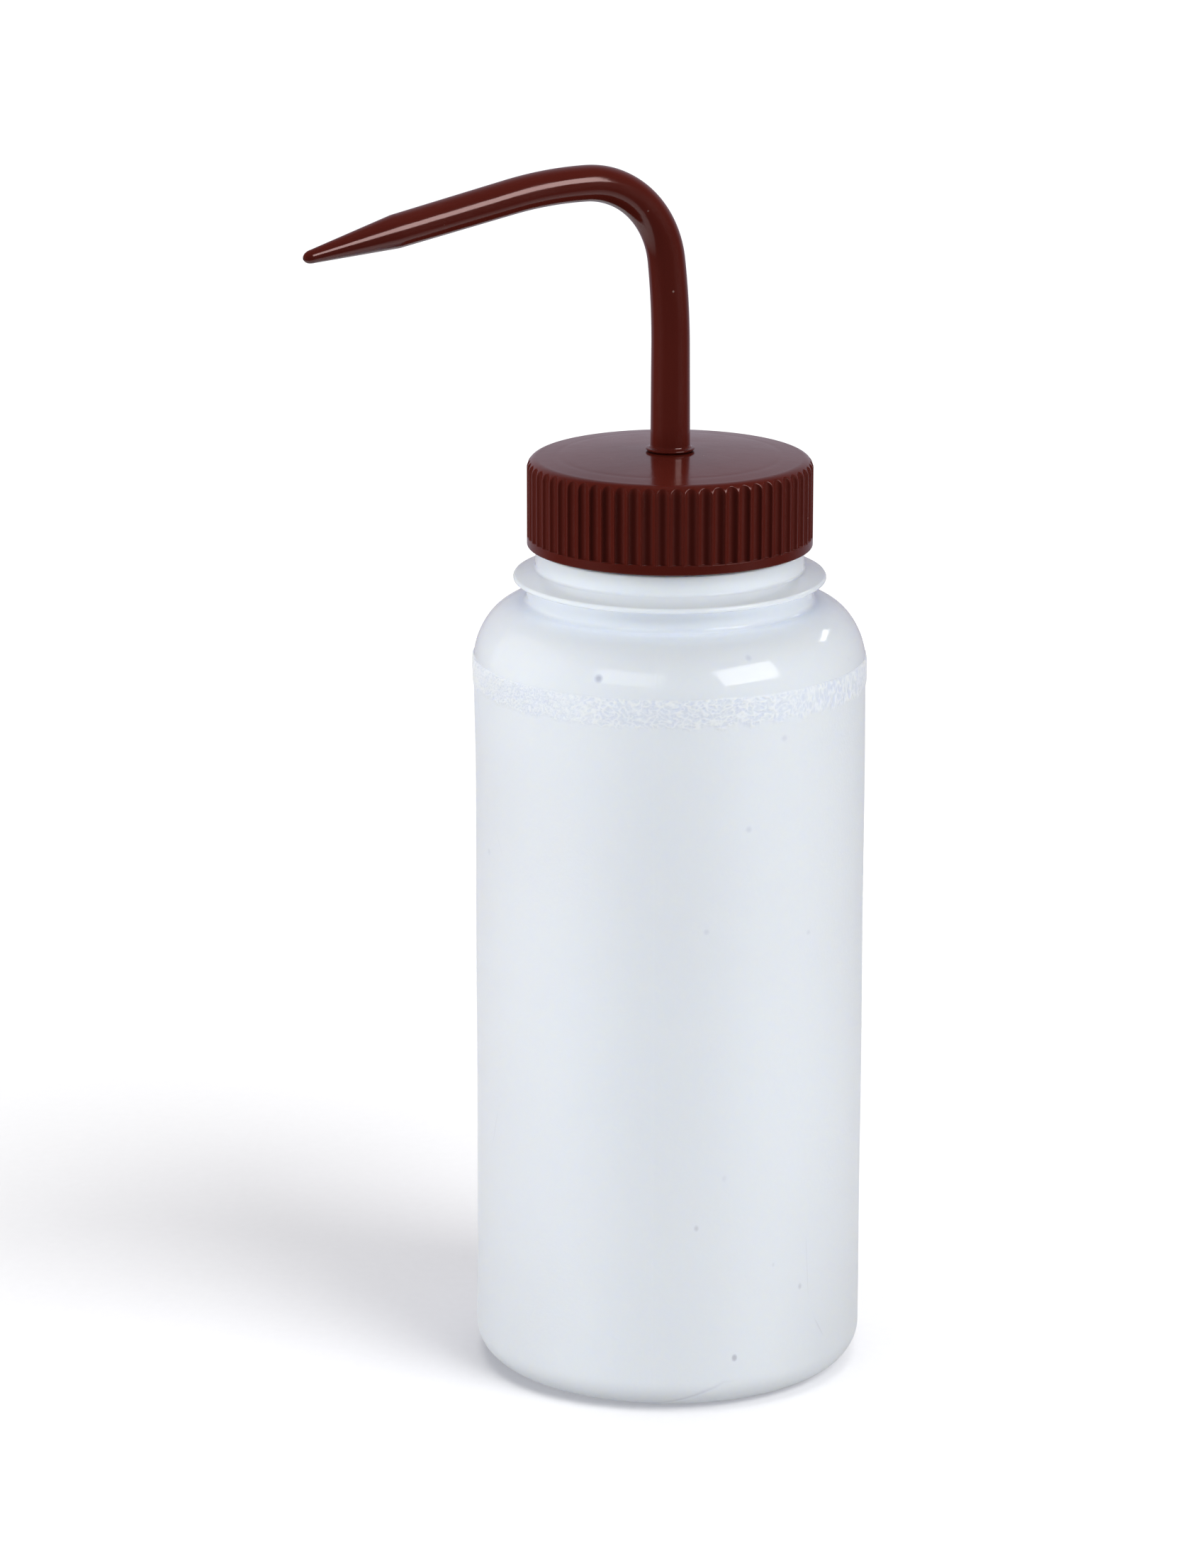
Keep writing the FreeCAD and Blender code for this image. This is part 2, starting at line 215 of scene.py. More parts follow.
def bottle_inside():
    """Inner profile, from the rim down to the middle of the base."""
    floor = BODY - CORNER
    points = straight((FINISH - 0.5, RIM), (MOUTH + 0.3, RIM), 3)
    points += bend((MOUTH + 0.3, RIM - 0.3), 0.3, 90, 180, 4)
    points += straight((MOUTH, RIM - 0.3), (MOUTH, SHOULDER + 5.4), 6)
    points += straight((MOUTH, SHOULDER + 5.4), (STEP - 1.3, SHOULDER + 1.5), 4)
    points += straight((STEP - 1.3, SHOULDER + 1.5), (STEP - 1.3, SHOULDER - 1.6), 3)
    points += straight((STEP - 1.3, SHOULDER - 1.6), (STEP, SHOULDER - WALL), 2)
    points += bend((STEP, SHOULDER - HIGH_BEND), HIGH_BEND - WALL, 90, JOIN, 9)
    points += bend((BODY - LOW_BEND, BODY_TOP), LOW_BEND - WALL, JOIN, 0, 9)
    points += straight((BODY - WALL, BODY_TOP), (BODY - WALL, CORNER), 12)
    points += bend((floor, CORNER), CORNER - WALL, 0, -90, 8)
    points += [(RING * k / 12, WALL + 0.1 + PUSH_UP * (1 - (k / 12) ** 2))
               for k in range(12, 0, -1)]
    return points


def front_angle(around):
    """Angle round the bottle from its front, -Y, positive towards +X, -pi to pi."""
    return (around + np.pi / 2 + np.pi) % (2 * np.pi) - np.pi


def grain(x, y, z):
    """Smooth noise at a place, about -1 to 1."""
    return noise.noise(Vector((x, y, z)))


def wrinkle(side, along, up):
    """Crumpled skin of the band, 0 to 1: grain on the left, waves, then fine streaks."""
    left = min(max((-0.35 - side) / 0.3, 0.0), 1.0)
    right = min(max((side - 0.55) / 0.3, 0.0), 1.0)
    middle = (1 - left) * (1 - right)
    bent = along + 0.8 * grain(along * 0.5, up * 0.5, 3.7)
    lift = up + 0.2 * along * grain(along * 0.12, 2.1, 8.8)
    wave = 1 - min(abs(grain(bent * 0.9, lift * 1.4, 0.3)) * 3.6, 1.0)
    fine = 1 - min(abs(grain(bent * 2.0, lift * 2.3, 9.1)) * 3.0, 1.0)
    grit = 1 - min(abs(grain(along * 2.6, up * 2.6, 5.2)) * 2.6, 1.0)
    streak = 1 - min(abs(grain(along * 2.0, up * 0.6, 1.4)) * 2.8, 1.0)
    return middle * (0.65 * wave + 0.45 * fine) + left * 0.85 * grit + right * 0.8 * streak


def band_skin(heights, around):
    """Where the band under the shoulder is, 0 to 1 over the grid, and its wrinkles."""
    top = BODY_TOP + 1.9
    band = np.zeros((len(heights), len(around)))
    skin = np.zeros((len(heights), len(around)))
    sides = front_angle(around)
    for j, side in enumerate(sides):
        along = side * BODY
        shift = 0.35 * grain(along * 0.08, 4.0, 0.0)
        foot = top - 5.7 + 0.9 * grain(along * 0.35, 0.0, 6.0) + 0.4 * grain(along * 1.3, 2.0, 6.0)
        rows = np.nonzero((heights < top + 1) & (heights > foot - 1) & (heights > 100))[0]
        for i in rows:
            up = heights[i]
            edge = min(max((top + shift - up) / 0.25, 0.0), 1.0)
            edge *= min(max((up - foot) / 0.7, 0.0), 1.0)
            if edge > 0:
                band[i, j] = edge
                skin[i, j] = wrinkle(side, along, up)
    return band, skin


def body_form(profile, around):
    """How far the soft wall departs from round: sunk panels, ripples, a parting line."""
    heights = profile[:, 1]
    wall = np.clip((heights - 3.0) / 18.0, 0, 1) * np.clip((BODY_TOP + 3 - heights) / 22.0, 0, 1)
    side = front_angle(around)
    sink = -0.16 - 0.16 * np.cos(side + np.pi / 2) + 0.05 * np.cos(3 * side + 0.8)
    form = wall[:, None] * sink[None, :]
    slow = 0.04 * np.sin(heights[:, None] * 0.11 + 1.3 * np.sin(side)[None, :])
    form += wall[:, None] * slow
    seam = np.zeros(len(around))
    for middle in (-0.068, np.pi - 0.068):
        away = np.abs((side - middle + np.pi) % (2 * np.pi) - np.pi) * BODY
        seam += np.exp(-(away / 0.16) ** 2)
    shown = (heights > 3.0) & (heights < SHOULDER + 3) & (profile[:, 0] > STEP - 0.1)
    return form + 0.03 * shown[:, None] * seam[None, :]


def base_crease(profile, around):
    """A thin fold pressed into the wall where the front of the base curves in."""
    side = front_angle(around)
    heights = profile[:, 1]
    along = side * BODY
    path = 0.5 + 5.2 * np.clip((along + 7.0) / 18.0, 0, 1) ** 1.8
    reach = np.clip((along + 11.0) / 5.0, 0, 1) * np.clip((14.0 - along) / 8.0, 0, 1)
    away = np.abs(heights[:, None] - path[None, :])
    outside = (profile[:, 0] > BODY - CORNER)[:, None]
    return np.exp(-(away / 0.22) ** 2) * reach[None, :] * outside


def make_bottle():
    """The blown wall, with its band, fold and thread, and layers that its plastic reads."""
    segments = 1200
    outside = bottle_outside()
    profile = np.array(outside + bottle_inside())
    around = 2 * np.pi * np.arange(segments) / segments
    radii = np.repeat(profile[:, :1], segments, 1)
    shell = np.array(outside)
    count = len(outside)
    band, skin = band_skin(shell[:, 1], around)
    fold = base_crease(shell, around)
    form = body_form(shell, around) - 0.2 * fold
    neck = (np.abs(shell[:, 0] - FINISH) < 0.01)[:, None]
    form += neck * THREAD * thread_height(shell[:, 1], around, THREAD_START)
    radii[:count] += form + 0.3 * band * (0.12 + 0.88 * skin)
    piece = grid_mesh("bottle_blown", rings(profile, segments, radii), True, False)
    for name, values in (("band", band), ("wrinkle", skin), ("fold", fold)):
        strength = np.zeros((len(profile), segments))
        strength[:count] = values
        layer = piece.data.attributes.new(name, "FLOAT", "POINT")
        layer.data.foreach_set("value", np.append(strength.reshape(-1), [0.0, 0.0]))
    return piece


# ---------------------------------------------------------------- cap

FLUTES = 64
FLUTE_RADIUS = 1.3
FLUTE_DEPTH = 0.7
CROWN = 1.2
CAP_EDGE = CAP_HIGH - CROWN
CAP_ROUND = 2.1
LEDGE = CAP_LOW + 1.8
PLATE = CAP_EDGE - 1.4
SKIRT = 24.75
SKIRT_MOUTH = 25.3
PLUG = 21.42
PLUG_BORE = 20.1
HUB = 3.4


def cap_outside():
    """Outer profile, from the skirt's foot up and over the crowned top to the hub hole."""
    flat = CAP - CAP_ROUND
    points = bend((CAP - 0.3, CAP_LOW + 0.3), 0.3, -90, 0, 5)
    points += straight((CAP, CAP_LOW + 0.3), (CAP, LEDGE - 0.1), 6)
    points += [(CAP, LEDGE - 0.1), (CAP, LEDGE), (CAP, LEDGE + 0.02), (CAP, LEDGE + 0.12)]
    points += straight((CAP, LEDGE + 0.3), (CAP, CAP_EDGE - CAP_ROUND), 12)
    points += bend((flat, CAP_EDGE - CAP_ROUND), CAP_ROUND, 0, 88, 34)
    for k in range(41):
        across = flat - 0.1 - (flat - 0.1 - HUB - 0.15) * k / 40
        points.append((across, CAP_EDGE + CROWN * (1 - (across / flat) ** 2)))
    points += [(HUB, CAP_HIGH - 0.2)]
    return points


def cap_inside():
    """Inner profile, down the hub hole, along the plate and plug and down the skirt."""
    points = polyline([(HUB, CAP_HIGH - 0.4), (HUB, PLATE), (PLUG_BORE, PLATE),
                       (PLUG_BORE, PLATE - 3.2), (PLUG - 0.5, PLATE - 3.2),
                       (PLUG, PLATE - 2.2), (PLUG, PLATE), (SKIRT, PLATE)], 4)
    points += [(SKIRT, z) for z in np.linspace(PLATE, CAP_LOW + 0.8, 60)]
    points += straight((SKIRT + 0.05, CAP_LOW + 0.7), (SKIRT_MOUTH, CAP_LOW), 3)
    points += straight((SKIRT_MOUTH, CAP_LOW), (CAP - 0.3, CAP_LOW), 4)
    return points


def soft_least(first, second, softness):
    """The lesser of two radii, with the edge between them slightly rounded."""
    gap = first - second
    return 0.5 * (first + second - np.sqrt(gap * gap + softness * softness))


def flute_radii(around):
    """Radius of the scooped flutes at each angle; wide of the cap between them."""
    pitch = 2 * np.pi / FLUTES
    off = around % pitch - pitch / 2
    centre = CAP - FLUTE_DEPTH + FLUTE_RADIUS
    inside = FLUTE_RADIUS ** 2 - (centre * np.sin(off)) ** 2
    scoop = centre * np.cos(off) - np.sqrt(np.maximum(inside, 0))
    return np.where(inside > 0, scoop, centre)


def cap_dish(across):
    """A shallow moulding ring pressed into the cap's top, near its rim."""
    return -0.035 * np.exp(-((across - 21.0) / 0.5) ** 2)


def make_cap():
    """The fluted cap with its inside thread."""
    segments = FLUTES * 20
    outside = np.array(cap_outside())
    inside = np.array(cap_inside())
    profile = np.concatenate([outside, inside])
    around = 2 * np.pi * np.arange(segments) / segments
    radii = np.repeat(profile[:, :1], segments, 1)
    count = len(outside)
    fluted = (outside[:, 1] > LEDGE + 0.01) & (outside[:, 0] > CAP - FLUTE_DEPTH - 0.4)
    scooped = soft_least(radii[:count], flute_radii(around)[None, :], 0.03)
    radii[:count] = np.where(fluted[:, None], scooped, radii[:count])
    bore = (np.abs(inside[:, 0] - SKIRT) < 0.01)[:, None]
    tooth = thread_height(inside[:, 1], around, THREAD_START - PITCH / 2)
    radii[count:] -= bore * THREAD * tooth
    points = rings(profile, segments, radii)
    points[:count, :, 2] += (outside[:, 1] > CAP_EDGE)[:, None] * cap_dish(radii[:count])
    return grid_mesh("cap_fluted", points, False, True)


# ---------------------------------------------------------------- spout

STEM = 3.73
ARM = 3.1
FOOT = 4.55
FOOT_LOW = CAP_HIGH + 0.1
BEND_START = RIM + 22.7
TURN = [(137.0, 6.8), (18.0, 81.6), (81.3, 11.5)]
SWING = math.radians(32.0)
ARM_LENGTH = 24.2
NOZZLE = 17.1
NIB = 1.9
TIP = 1.25
JET = 0.4
STEM_BORE = 2.5
ARM_BORE = 2.0
JOURNAL = 3.35
SNAP = 3.9
SPIGOT = 2.26
SPIGOT_BORE = 1.45


def route_end():
    """Length along the route, counted as a height, where the arm ends."""
    return BEND_START + sum(r * math.radians(a) for r, a in TURN) + ARM_LENGTH


def route_at(length):
    """Where the route is at a length counted as a height, and its heading in radians."""
    if length <= BEND_START:
        return 0.0, length, 0.0
    across, up, heading = 0.0, BEND_START, 0.0
    left = length - BEND_START
    for radius, angle in TURN:
        part = min(left / radius, math.radians(angle))
        across -= radius * (math.cos(heading) - math.cos(heading + part))
        up += radius * (math.sin(heading + part) - math.sin(heading))
        heading += part
        left -= part * radius
        if left <= 1e-9:
            return across, up, heading
    return across - left * math.sin(heading), up + left * math.cos(heading), heading


def along_route(points):
    """Bend rings that stand round the Z axis along the route, then swing the arm."""
    bent = points.copy()
    for i in range(len(points)):
        across, up, heading = route_at(points[i, 0, 2])
        flat = across + points[i, :, 0] * math.cos(heading)
        bent[i, :, 0] = flat * math.cos(SWING) - points[i, :, 1] * math.sin(SWING)
        bent[i, :, 1] = flat * math.sin(SWING) + points[i, :, 1] * math.cos(SWING)
        bent[i, :, 2] = up + points[i, :, 0] * math.sin(heading)
    return bent


def tube_radius(length):
    """Outer radius of the tube, which tapers from foot to arm end."""
    low = FOOT_LOW + 0.4
    return STEM + (ARM - STEM) * (length - low) / (route_end() - low)


def spout_outside():
    """Outer profile as radius and length: spigot, snap ring, foot, tube, nozzle, nib."""
    snap_top = PLATE - 0.1
    snap_low = snap_top - 1.5
    foot_high = FOOT_LOW + 0.55
    neck = tube_radius(foot_high + 0.6)
    points = polyline([(SPIGOT_BORE, SPIGOT_LOW), (SPIGOT - 0.3, SPIGOT_LOW),
                       (SPIGOT, SPIGOT_LOW + 1), (SPIGOT, snap_low), (JOURNAL, snap_low),
                       (SNAP, snap_low + 0.8), (SNAP, snap_top), (JOURNAL, snap_top),
                       (JOURNAL, FOOT_LOW),
                       (FOOT - 0.1, FOOT_LOW)], 4)
    points += bend((FOOT - 0.15, foot_high - 0.2), 0.2, -40, 90, 6)
    points += bend((neck + 0.55, foot_high + 0.55), 0.55, -90, -180, 8)
    length = foot_high + 0.6
    while length < route_end() - 0.3:
        points.append((tube_radius(length), length))
        length += 0.42
    base = route_end()
    for k in range(33):
        share = k / 32
        points.append((ARM + (TIP - ARM) * share, base + NOZZLE * share))
    for k in range(1, 12):
        turn = math.radians(90 * k / 12)
        points.append((TIP * math.cos(turn), base + NOZZLE + NIB * math.sin(turn)))
    points.append((JET, base + NOZZLE + NIB * 0.95))
    return points


def spout_inside():
    """Bore, from the jet back down to the spigot."""
    base = route_end()
    points = [(JET, base + NOZZLE + NIB * 0.8), (JET, base + NOZZLE - 0.5)]
    points += straight((JET, base + NOZZLE - 0.5), (ARM_BORE, base), 8)[1:]
    length = base
    foot = FOOT_LOW + 0.4
    while length > foot:
        share = (length - foot) / (base - foot)
        points.append((STEM_BORE - (STEM_BORE - ARM_BORE) * share, length))
        length -= 1.2
    points += [(STEM_BORE, foot), (SPIGOT_BORE, foot - 0.05), (SPIGOT_BORE, SPIGOT_LOW + 0.2)]
    return points


def make_spout():
    """The bent spout with its bore and a faint moulding seam along both sides."""
    segments = 112
    profile = np.array(spout_outside() + spout_inside())
    around = 2 * np.pi * np.arange(segments) / segments
    radii = np.repeat(profile[:, :1], segments, 1)
    tube = (profile[:, 1] > FOOT_LOW + 2) & (profile[:, 0] > JET + 0.1)
    bore = np.arange(len(profile)) >= len(spout_outside())
    seam = np.exp(-(np.sin(around) * 3.3 / 0.14) ** 2)
    radii += (tube & ~bore)[:, None] * 0.02 * seam[None, :]
    return grid_mesh("spout_bent", along_route(rings(profile, segments, radii)), False, True)


# ---------------------------------------------------------------- node helpers

class Graph:
    """A few short ways to build a material's nodes."""

    def __init__(self, name):
        self.material = bpy.data.materials.new(name)
        self.material.use_nodes = True
        self.nodes = self.material.node_tree.nodes
        self.links = self.material.node_tree.links
        self.shader = self.nodes["Principled BSDF"]
        self.place = self.nodes.new("ShaderNodeTexCoord").outputs["Object"]

    def put(self, kind, **settings):
        node = self.nodes.new(kind)
        for name, setting in settings.items():
            setattr(node, name, setting)
        return node

    def feed(self, socket, source):
        if isinstance(source, bpy.types.NodeSocket):
            self.links.new(source, socket)
        else:
            socket.default_value = source

    def scaled(self, stretch):
        node = self.put("ShaderNodeMapping")
        self.feed(node.inputs["Vector"], self.place)
        node.inputs["Scale"].default_value = stretch
        return node.outputs["Vector"]

    def noise(self, scale, detail=3.0, rough=0.5, stretch=(1, 1, 1)):
        node = self.put("ShaderNodeTexNoise")
        self.feed(node.inputs["Vector"], self.scaled(stretch))
        node.inputs["Scale"].default_value = scale
        node.inputs["Detail"].default_value = detail
        node.inputs["Roughness"].default_value = rough
        return node.outputs["Fac"]

    def cells(self, scale, stretch=(1, 1, 1), feature="F1"):
        node = self.put("ShaderNodeTexVoronoi", feature=feature)
        self.feed(node.inputs["Vector"], self.scaled(stretch))
        node.inputs["Scale"].default_value = scale
        return node.outputs["Distance"]

    def ramp(self, source, low, high, first=0.0, last=1.0):
        node = self.put("ShaderNodeMapRange", clamp=True)
        self.feed(node.inputs["Value"], source)
        node.inputs["From Min"].default_value = low
        node.inputs["From Max"].default_value = high
        node.inputs["To Min"].default_value = first
        node.inputs["To Max"].default_value = last
        return node.outputs["Result"]

    def sum(self, kind, first, second):
        node = self.put("ShaderNodeMath", operation=kind)
        self.feed(node.inputs[0], first)
        self.feed(node.inputs[1], second)
        return node.outputs[0]

    def mix(self, share, first, second):
        node = self.put("ShaderNodeMix", data_type="RGBA")
        self.feed(node.inputs["Factor"], share)
        self.feed(node.inputs["A"], first)
        self.feed(node.inputs["B"], second)
        return node.outputs["Result"]

    def layer(self, name):
        return self.put("ShaderNodeAttribute", attribute_name=name).outputs["Fac"]

    def height(self):
        node = self.put("ShaderNodeSeparateXYZ")
        self.feed(node.inputs[0], self.place)
        return node.outputs["Z"]

    def bump(self, source, depth):
        node = self.put("ShaderNodeBump")
        self.feed(node.inputs["Height"], source)
        node.inputs["Distance"].default_value = depth
        node.inputs["Strength"].default_value = 1.0
        if self.shader.inputs["Normal"].is_linked:
            self.feed(node.inputs["Normal"], self.shader.inputs["Normal"].links[0].from_socket)
        self.feed(self.shader.inputs["Normal"], node.outputs["Normal"])

    def set(self, name, source):
        self.feed(self.shader.inputs[name], source)


def rgb(red, green, blue):
    """Linear colour with full alpha."""
    return (red, green, blue, 1.0)


# ---------------------------------------------------------------- materials

# Each speck: degrees round from the front, distance from the axis, height, size, strength.
SPECKS = [
    (-21, 36.03, BODY_TOP + 5.1, 0.75, 0.5),
    (25, 34.18, BODY_TOP + 8.4, 0.6, 0.16),
    (35, BODY, BODY_TOP - 6.9, 0.6, 0.12),
    (23.5, BODY, BODY_TOP - 23.4, 0.6, 0.14),
    (-67, BODY, BODY_TOP - 33.4, 0.7, 0.14),
    (45, BODY, BODY_TOP - 45.4, 0.5, 0.12),
    (11, BODY, BODY_TOP - 42.4, 0.55, 0.12),
]


def spotted(g, colour):
    """Round grey specks in the wall, one of them plain to see on the shoulder."""
    for turn, across, up, size, strength in SPECKS:
        side = math.radians(turn)
        middle = (across * math.sin(side) * MM, -across * math.cos(side) * MM, up * MM)
        away = g.put("ShaderNodeVectorMath", operation="DISTANCE")
        g.feed(away.inputs[0], g.place)
        away.inputs[1].default_value = middle
        share = g.ramp(away.outputs["Value"], size * 0.4 * MM, size * 1.3 * MM, strength, 0.0)
        colour = g.mix(share, colour, rgb(0.22, 0.24, 0.32))
    return colour


def band_with_painted_relief(g, colour, band, skin):
    """The band under the shoulder: paler on its wrinkles as painted light and darker between them
    as painted shade.
    """
    # painted light and shade: the wrinkles' crests are made paler and the hollows between them
    # darker
    painted_relief = g.ramp(skin, 0.09, 0.66)
    wrinkled = g.mix(painted_relief, rgb(0.75, 0.805, 0.915), rgb(0.86, 0.905, 0.99))
    return g.mix(band, colour, wrinkled)


def soiled(g, colour, up):
    """Small dark scuffs and hairs, most of them low on the wall."""
    low = g.ramp(up, 0.015, 0.085, 1.0, 0.12)
    speck = g.ramp(g.cells(105.0, (1.0, 1.0, 0.75)), 0.035, 0.07, 1.0, 0.0)
    chosen = g.ramp(g.noise(38.0, 1.0), 0.54, 0.60)
    marks = g.sum("MULTIPLY", g.sum("MULTIPLY", speck, chosen), low)
    curl = g.cells(34.0, (1.0, 1.0, 0.6), "DISTANCE_TO_EDGE")
    hair = g.ramp(curl, 0.0, 0.006, 1.0, 0.0)
    patch = g.ramp(g.noise(26.0, 2.0, 0.6, (1.3, 0.8, 1.0)), 0.62, 0.66)
    hairs = g.sum("MULTIPLY", g.sum("MULTIPLY", hair, patch), low)
    dirt = g.sum("MAXIMUM", marks, hairs)
    return g.mix(g.sum("MULTIPLY", dirt, 0.5), colour, rgb(0.33, 0.34, 0.38))


def wall_roughness(g, up, band, skin):
    """Matte below the band, glossy on shoulder and neck, rougher on the wrinkles."""
    matte = g.ramp(up, (BODY_TOP + 1.2) * MM, (BODY_TOP + 2.2) * MM, 0.52, 0.09)
    worn = g.ramp(g.noise(300.0, 4.0, 0.6), 0.3, 0.7, -0.05, 0.05)
    rough = g.sum("ADD", matte, worn)
    wrinkled = g.ramp(skin, 0.0, 0.32, 0.054, 0.18)
    return g.sum("ADD", rough, g.sum("MULTIPLY", band, wrinkled))


def milky_plastic():
    """Natural LDPE: matte wall, glossy blown shoulder and neck, small dark scuffs."""
    g = Graph("milky_plastic")
    up = g.height()
    band = g.layer("band")
    skin = g.layer("wrinkle")
    cloud = g.noise(22.0, 4.0, 0.55)
    streak = g.noise(40.0, 3.0, 0.5, (1.0, 1.0, 0.12))
    tone = g.sum("ADD", g.sum("MULTIPLY", cloud, 0.6), g.sum("MULTIPLY", streak, 0.4))
    colour = g.mix(tone, rgb(0.80, 0.855, 0.965), rgb(0.84, 0.885, 0.98))
    # painted light on the band's wrinkles and painted shade between them
    colour = band_with_painted_relief(g, colour, band, skin)
    # painted shade: the wall darkened towards grey along the fold near the base
    fold_painted_shade = g.sum("MULTIPLY", g.layer("fold"), 0.3)
    colour = g.mix(fold_painted_shade, colour, rgb(0.45, 0.47, 0.52))
    g.set("Base Color", spotted(g, soiled(g, colour, up)))
    g.set("Roughness", wall_roughness(g, up, band, skin))
    g.set("IOR", 1.51)
    g.set("Subsurface Weight", 1.0)
    g.set("Subsurface Radius", (1.0, 0.94, 0.8))
    depth = g.ramp(up, (SHOULDER - 3) * MM, (SHOULDER + 1) * MM, 0.0013, 0.0004)
    g.set("Subsurface Scale", depth)
    orange = g.ramp(up, (BODY_TOP + 1.5) * MM, (BODY_TOP + 2.5) * MM, 1.0, 0.08)
    frost = g.sum("MULTIPLY", g.noise(1100.0, 4.0, 0.6), orange)
    g.bump(frost, 0.00006)
    g.bump(g.noise(90.0, 2.0, 0.5, (1.0, 1.0, 0.4)), 0.00007)
    return g.material


MAROON = (0.070, 0.0092, 0.0058)


def maroon_plastic(name, gloss):
    """Moulded red-brown polypropylene with faint flow marks and dust."""
    g = Graph(name)
    flow = g.noise(60.0, 4.0, 0.55, (1.0, 1.0, 0.3))
    dark = rgb(MAROON[0] * 0.86, MAROON[1] * 0.82, MAROON[2] * 0.82)
    light = rgb(MAROON[0] * 1.14, MAROON[1] * 1.2, MAROON[2] * 1.2)
    tint = g.mix(flow, dark, light)
    fleck = g.ramp(g.cells(420.0), 0.05, 0.11, 1.0, 0.0)
    where = g.ramp(g.noise(140.0, 2.0), 0.63, 0.68)
    dust = g.sum("MULTIPLY", fleck, where)
    g.set("Base Color", g.mix(g.sum("MULTIPLY", dust, 0.45), tint, rgb(0.42, 0.33, 0.30)))
    haze = g.ramp(g.noise(190.0, 5.0, 0.65), 0.3, 0.7, gloss - 0.03, gloss + 0.05)
    top = g.ramp(g.height(), (CAP_EDGE - 1.2) * MM, (CAP_EDGE - 0.3) * MM)
    haze = g.sum("ADD", haze, g.sum("MULTIPLY", g.sum("SUBTRACT", 1.0, top), 0.08))
    g.set("Specular IOR Level", g.ramp(top, 0.0, 1.0, 0.3, 0.5))
    g.set("Specular Tint", rgb(1.0, 0.8, 0.78))
    g.set("Roughness", g.sum("ADD", haze, g.sum("MULTIPLY", dust, 0.3)))
    g.set("IOR", 1.5)
    g.bump(g.noise(700.0, 1.0, 0.5), 0.000012)
    g.bump(g.noise(75.0, 2.0, 0.5), 0.00008)
    return g.material


def tube_plastic():
    """Drawn natural tube: translucent, with fine lines along its length."""
    g = Graph("tube_plastic")
    lines = g.noise(900.0, 2.0, 0.5, (1.0, 1.0, 0.02))
    g.set("Base Color", g.mix(lines, rgb(0.70, 0.72, 0.76), rgb(0.80, 0.82, 0.85)))
    g.set("Roughness", g.ramp(lines, 0.3, 0.7, 0.22, 0.32))
    g.set("Subsurface Weight", 0.3)
    g.set("Subsurface Scale", 0.002)
    g.bump(lines, 0.00004)
    return g.material


def floor_paper():
    """White seamless paper with a faint tooth, which fades out round the bottle."""
    g = Graph("floor_paper")
    tooth = g.noise(500.0, 3.0)
    g.set("Base Color", g.mix(tooth, rgb(0.90, 0.90, 0.90), rgb(0.93, 0.93, 0.93)))
    g.set("Roughness", 0.9)
    g.set("Specular IOR Level", 0.2)
    g.bump(tooth, 0.00003)
    away = g.put("ShaderNodeVectorMath", operation="LENGTH")
    g.feed(away.inputs[0], g.place)
    g.set("Alpha", g.ramp(away.outputs["Value"], 0.14, 0.40, 1.0, 0.0))
    return g.material


# ---------------------------------------------------------------- the object

def dress(piece, node, body, material):
    """Put a finished piece in place of its CAD node."""
    piece.data.materials.append(material)
    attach(piece, body)
    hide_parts(node)


bottle = make_bottle()
cap = make_cap()
spout = make_spout()
dress(bottle, "bottle", "bottle", milky_plastic())
dress(cap, "cap", "cap", maroon_plastic("cap_maroon", 0.14))
dress(spout, "spout", "spout", maroon_plastic("spout_maroon", 0.12))
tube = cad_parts["dip_tube"]
for holder in tube.material_slots:
    holder.material = tube_plastic()


# ---------------------------------------------------------------- stage

def floor():
    """A sheet of white paper just under the bottle."""
    mesh = bpy.data.meshes.new("floor")
    side, front, back = 0.5, -0.18, 0.8
    mesh.from_pydata([(-side, front, 0), (side, front, 0), (side, back, 0), (-side, back, 0)],
                     [], [(0, 1, 2, 3)])
    sheet = bpy.data.objects.new("floor", mesh)
    bpy.context.collection.objects.link(sheet)
    sheet.location.z = -0.0002
    mesh.materials.append(floor_paper())
    sheet.visible_diffuse = False
    return sheet


def only_for(light, pieces):
    """Let a light reach only some pieces."""
    lit = bpy.data.collections.new("lit_by_" + light.name)
    for piece in pieces:
        lit.objects.link(piece)
    light.light_linking.receiver_collection = lit


def key_light(sheet):
    """A broad distant light from the right, which casts the soft shadow on the paper."""
    light = bpy.data.lights.new("key", "SUN")
    light.energy = 1.75
    light.angle = math.radians(34)
    holder = bpy.data.objects.new("key", light)
    bpy.context.collection.objects.link(holder)
    way = Vector((0.55, -0.45, 0.70)).normalized()
    holder.rotation_euler = way.to_track_quat("Z", "Y").to_euler()
    only_for(holder, [sheet])


def lamp(name, towards, distance, size, power, colour=(1, 1, 1)):
    """A softbox that looks back at the bottle's shoulder from a direction."""
    aim = Vector((0, 0, 0.14))
    light = bpy.data.lights.new(name, "AREA")
    light.shape = "RECTANGLE"
    light.size, light.size_y = size
    light.energy = power
    light.color = colour
    holder = bpy.data.objects.new(name, light)
    bpy.context.collection.objects.link(holder)
    way = Vector(towards).normalized()
    holder.location = aim + way * distance
    holder.rotation_euler = way.to_track_quat("Z", "Y").to_euler()
    return holder


def ranged(nodes, links, source, low, high, first, last):
    """A value taken from one range to another, clamped."""
    node = nodes.new("ShaderNodeMapRange")
    links.new(source, node.inputs["Value"])
    for name, number in zip(("From Min", "From Max", "To Min", "To Max"),
                            (low, high, first, last)):
        node.inputs[name].default_value = number
    return node.outputs["Result"]


def fill(name, towards, distance, size, power, pieces):
    """A soft light that lights only some pieces and leaves no reflection."""
    holder = lamp(name, towards, distance, size, power)
    holder.visible_glossy = False
    only_for(holder, pieces)
    return holder


def shine(name, towards, size, power, pieces, colour=(1, 1, 1)):
    """A softbox that is only seen reflected in some pieces."""
    holder = lamp(name, towards, 1.0, size, power, colour)
    holder.visible_diffuse = False
    only_for(holder, pieces)


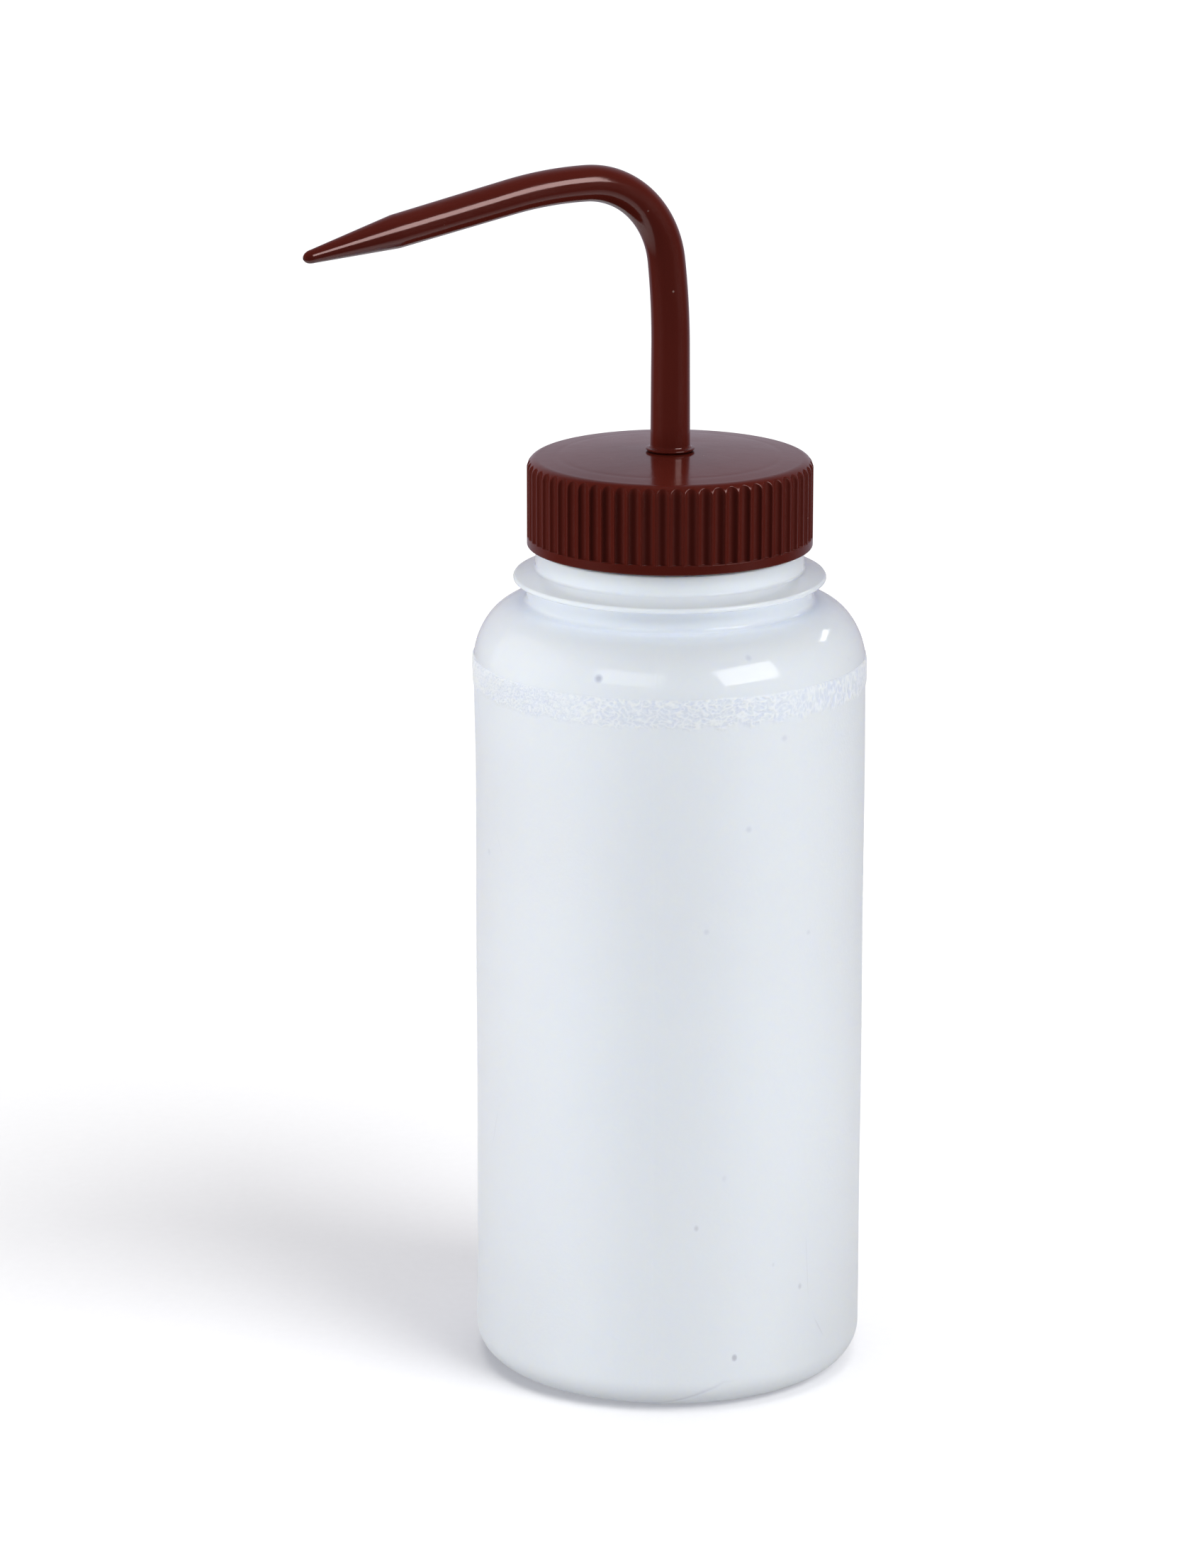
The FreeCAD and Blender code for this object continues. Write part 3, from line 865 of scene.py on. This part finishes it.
def studio(milky, maroon, paper):
    """Softboxes and fills, each for the milky pieces, the maroon pieces or the paper."""
    right = (0.673, -0.545, 0.50)
    shine("right_box", right, (0.62, 0.42), 7.0, maroon, (1, 0.9, 0.89))
    shine("right_glint", right, (0.62, 0.42), 3.6, milky)
    shine("front_glint", (-0.366, -0.785, 0.50), (0.7, 0.36), 1.5, milky, (0.95, 0.98, 1))
    shine("left_glint", (-0.88, 0.14, 0.25), (1.1, 1.0), 1.8, milky, (1, 0.95, 0.91))
    shine("back_glint", (0.664, 0.582, 0.469), (0.3, 0.08), 0.35, milky)
    fill("window", (-0.72, 0.60, 0.36), 1.0, (0.9, 0.7), 2.2, milky + maroon)
    fill("front_fill", (0.0, -1.0, -0.05), 1.5, (1.4, 1.0), 10.5, milky)
    under = fill("under_fill", (0.0, -0.6, -0.8), 1.5, (1.4, 1.0), 5.5, milky)
    under.light_linking.blocker_collection = under.light_linking.receiver_collection
    fill("high_fill", (0.0, -0.6, 0.8), 2.5, (2.3, 1.3), 33.0, milky)
    fill("left_fill", (-1.0, 0.0, 0.0), 1.0, (0.6, 0.6), 6.0, milky)
    fill("right_fill", (1.0, 0.0, 0.0), 1.0, (0.6, 0.6), 5.8, milky)
    fill("left_panel", (-0.92, -0.38, 0.1), 1.0, (0.7, 0.7), 11.5, maroon)
    fill("right_panel", (0.92, -0.38, 0.1), 1.0, (0.7, 0.7), 10.8, maroon)
    fill("top_panel", (0.0, 0.1, 1.0), 1.0, (0.6, 0.6), 8.5, maroon)
    fill("paper_top", (0.0, 0.0, 1.0), 1.5, (1.2, 1.2), 14.0, paper)
    glow = fill("paper_glow", (0.0, -0.1, 1.0), 1.5, (1.2, 1.2), 6.0, paper)
    glow.light_linking.blocker_collection = glow.light_linking.receiver_collection


def room():
    """Faint surroundings, brighter behind the bottle, and plain white where seen."""
    world = bpy.data.worlds.new("studio")
    bpy.context.scene.world = world
    world.use_nodes = True
    nodes = world.node_tree.nodes
    links = world.node_tree.links
    way = nodes.new("ShaderNodeTexCoord").outputs["Generated"]
    split = nodes.new("ShaderNodeSeparateXYZ")
    links.new(way, split.inputs[0])
    back = ranged(nodes, links, split.outputs["Y"], 0.3, 0.95, 0.05, 0.47)
    seen = nodes.new("ShaderNodeLightPath").outputs["Is Camera Ray"]
    shade = nodes.new("ShaderNodeMix")
    links.new(seen, shade.inputs[0])
    links.new(back, shade.inputs[2])
    shade.inputs[3].default_value = 1.15
    links.new(shade.outputs[0], nodes["Background"].inputs["Strength"])
    tint = nodes.new("ShaderNodeMix")
    tint.data_type = "RGBA"
    links.new(seen, tint.inputs["Factor"])
    tint.inputs["A"].default_value = (0.98, 0.93, 1.08, 1)
    tint.inputs["B"].default_value = (1, 1, 1, 1)
    links.new(tint.outputs["Result"], nodes["Background"].inputs["Color"])


def camera():
    """The photograph's viewpoint: about a metre away, looking down a little."""
    data = bpy.data.cameras.new("camera")
    data.sensor_fit = "HORIZONTAL"
    data.sensor_width = 36.0
    data.lens = 176.12
    holder = bpy.data.objects.new("camera", data)
    bpy.context.collection.objects.link(holder)
    holder.location = (0.0, -1.0562, 0.4014)
    tilt = math.radians(90 - 15.279)
    holder.rotation_euler = (tilt, 0.0, math.radians(0.812))
    bpy.context.scene.camera = holder


sheet = floor()
key_light(sheet)
studio((bottle, tube), (cap, spout), (sheet,))
room()
camera()
bpy.context.scene.view_settings.view_transform = "Standard"
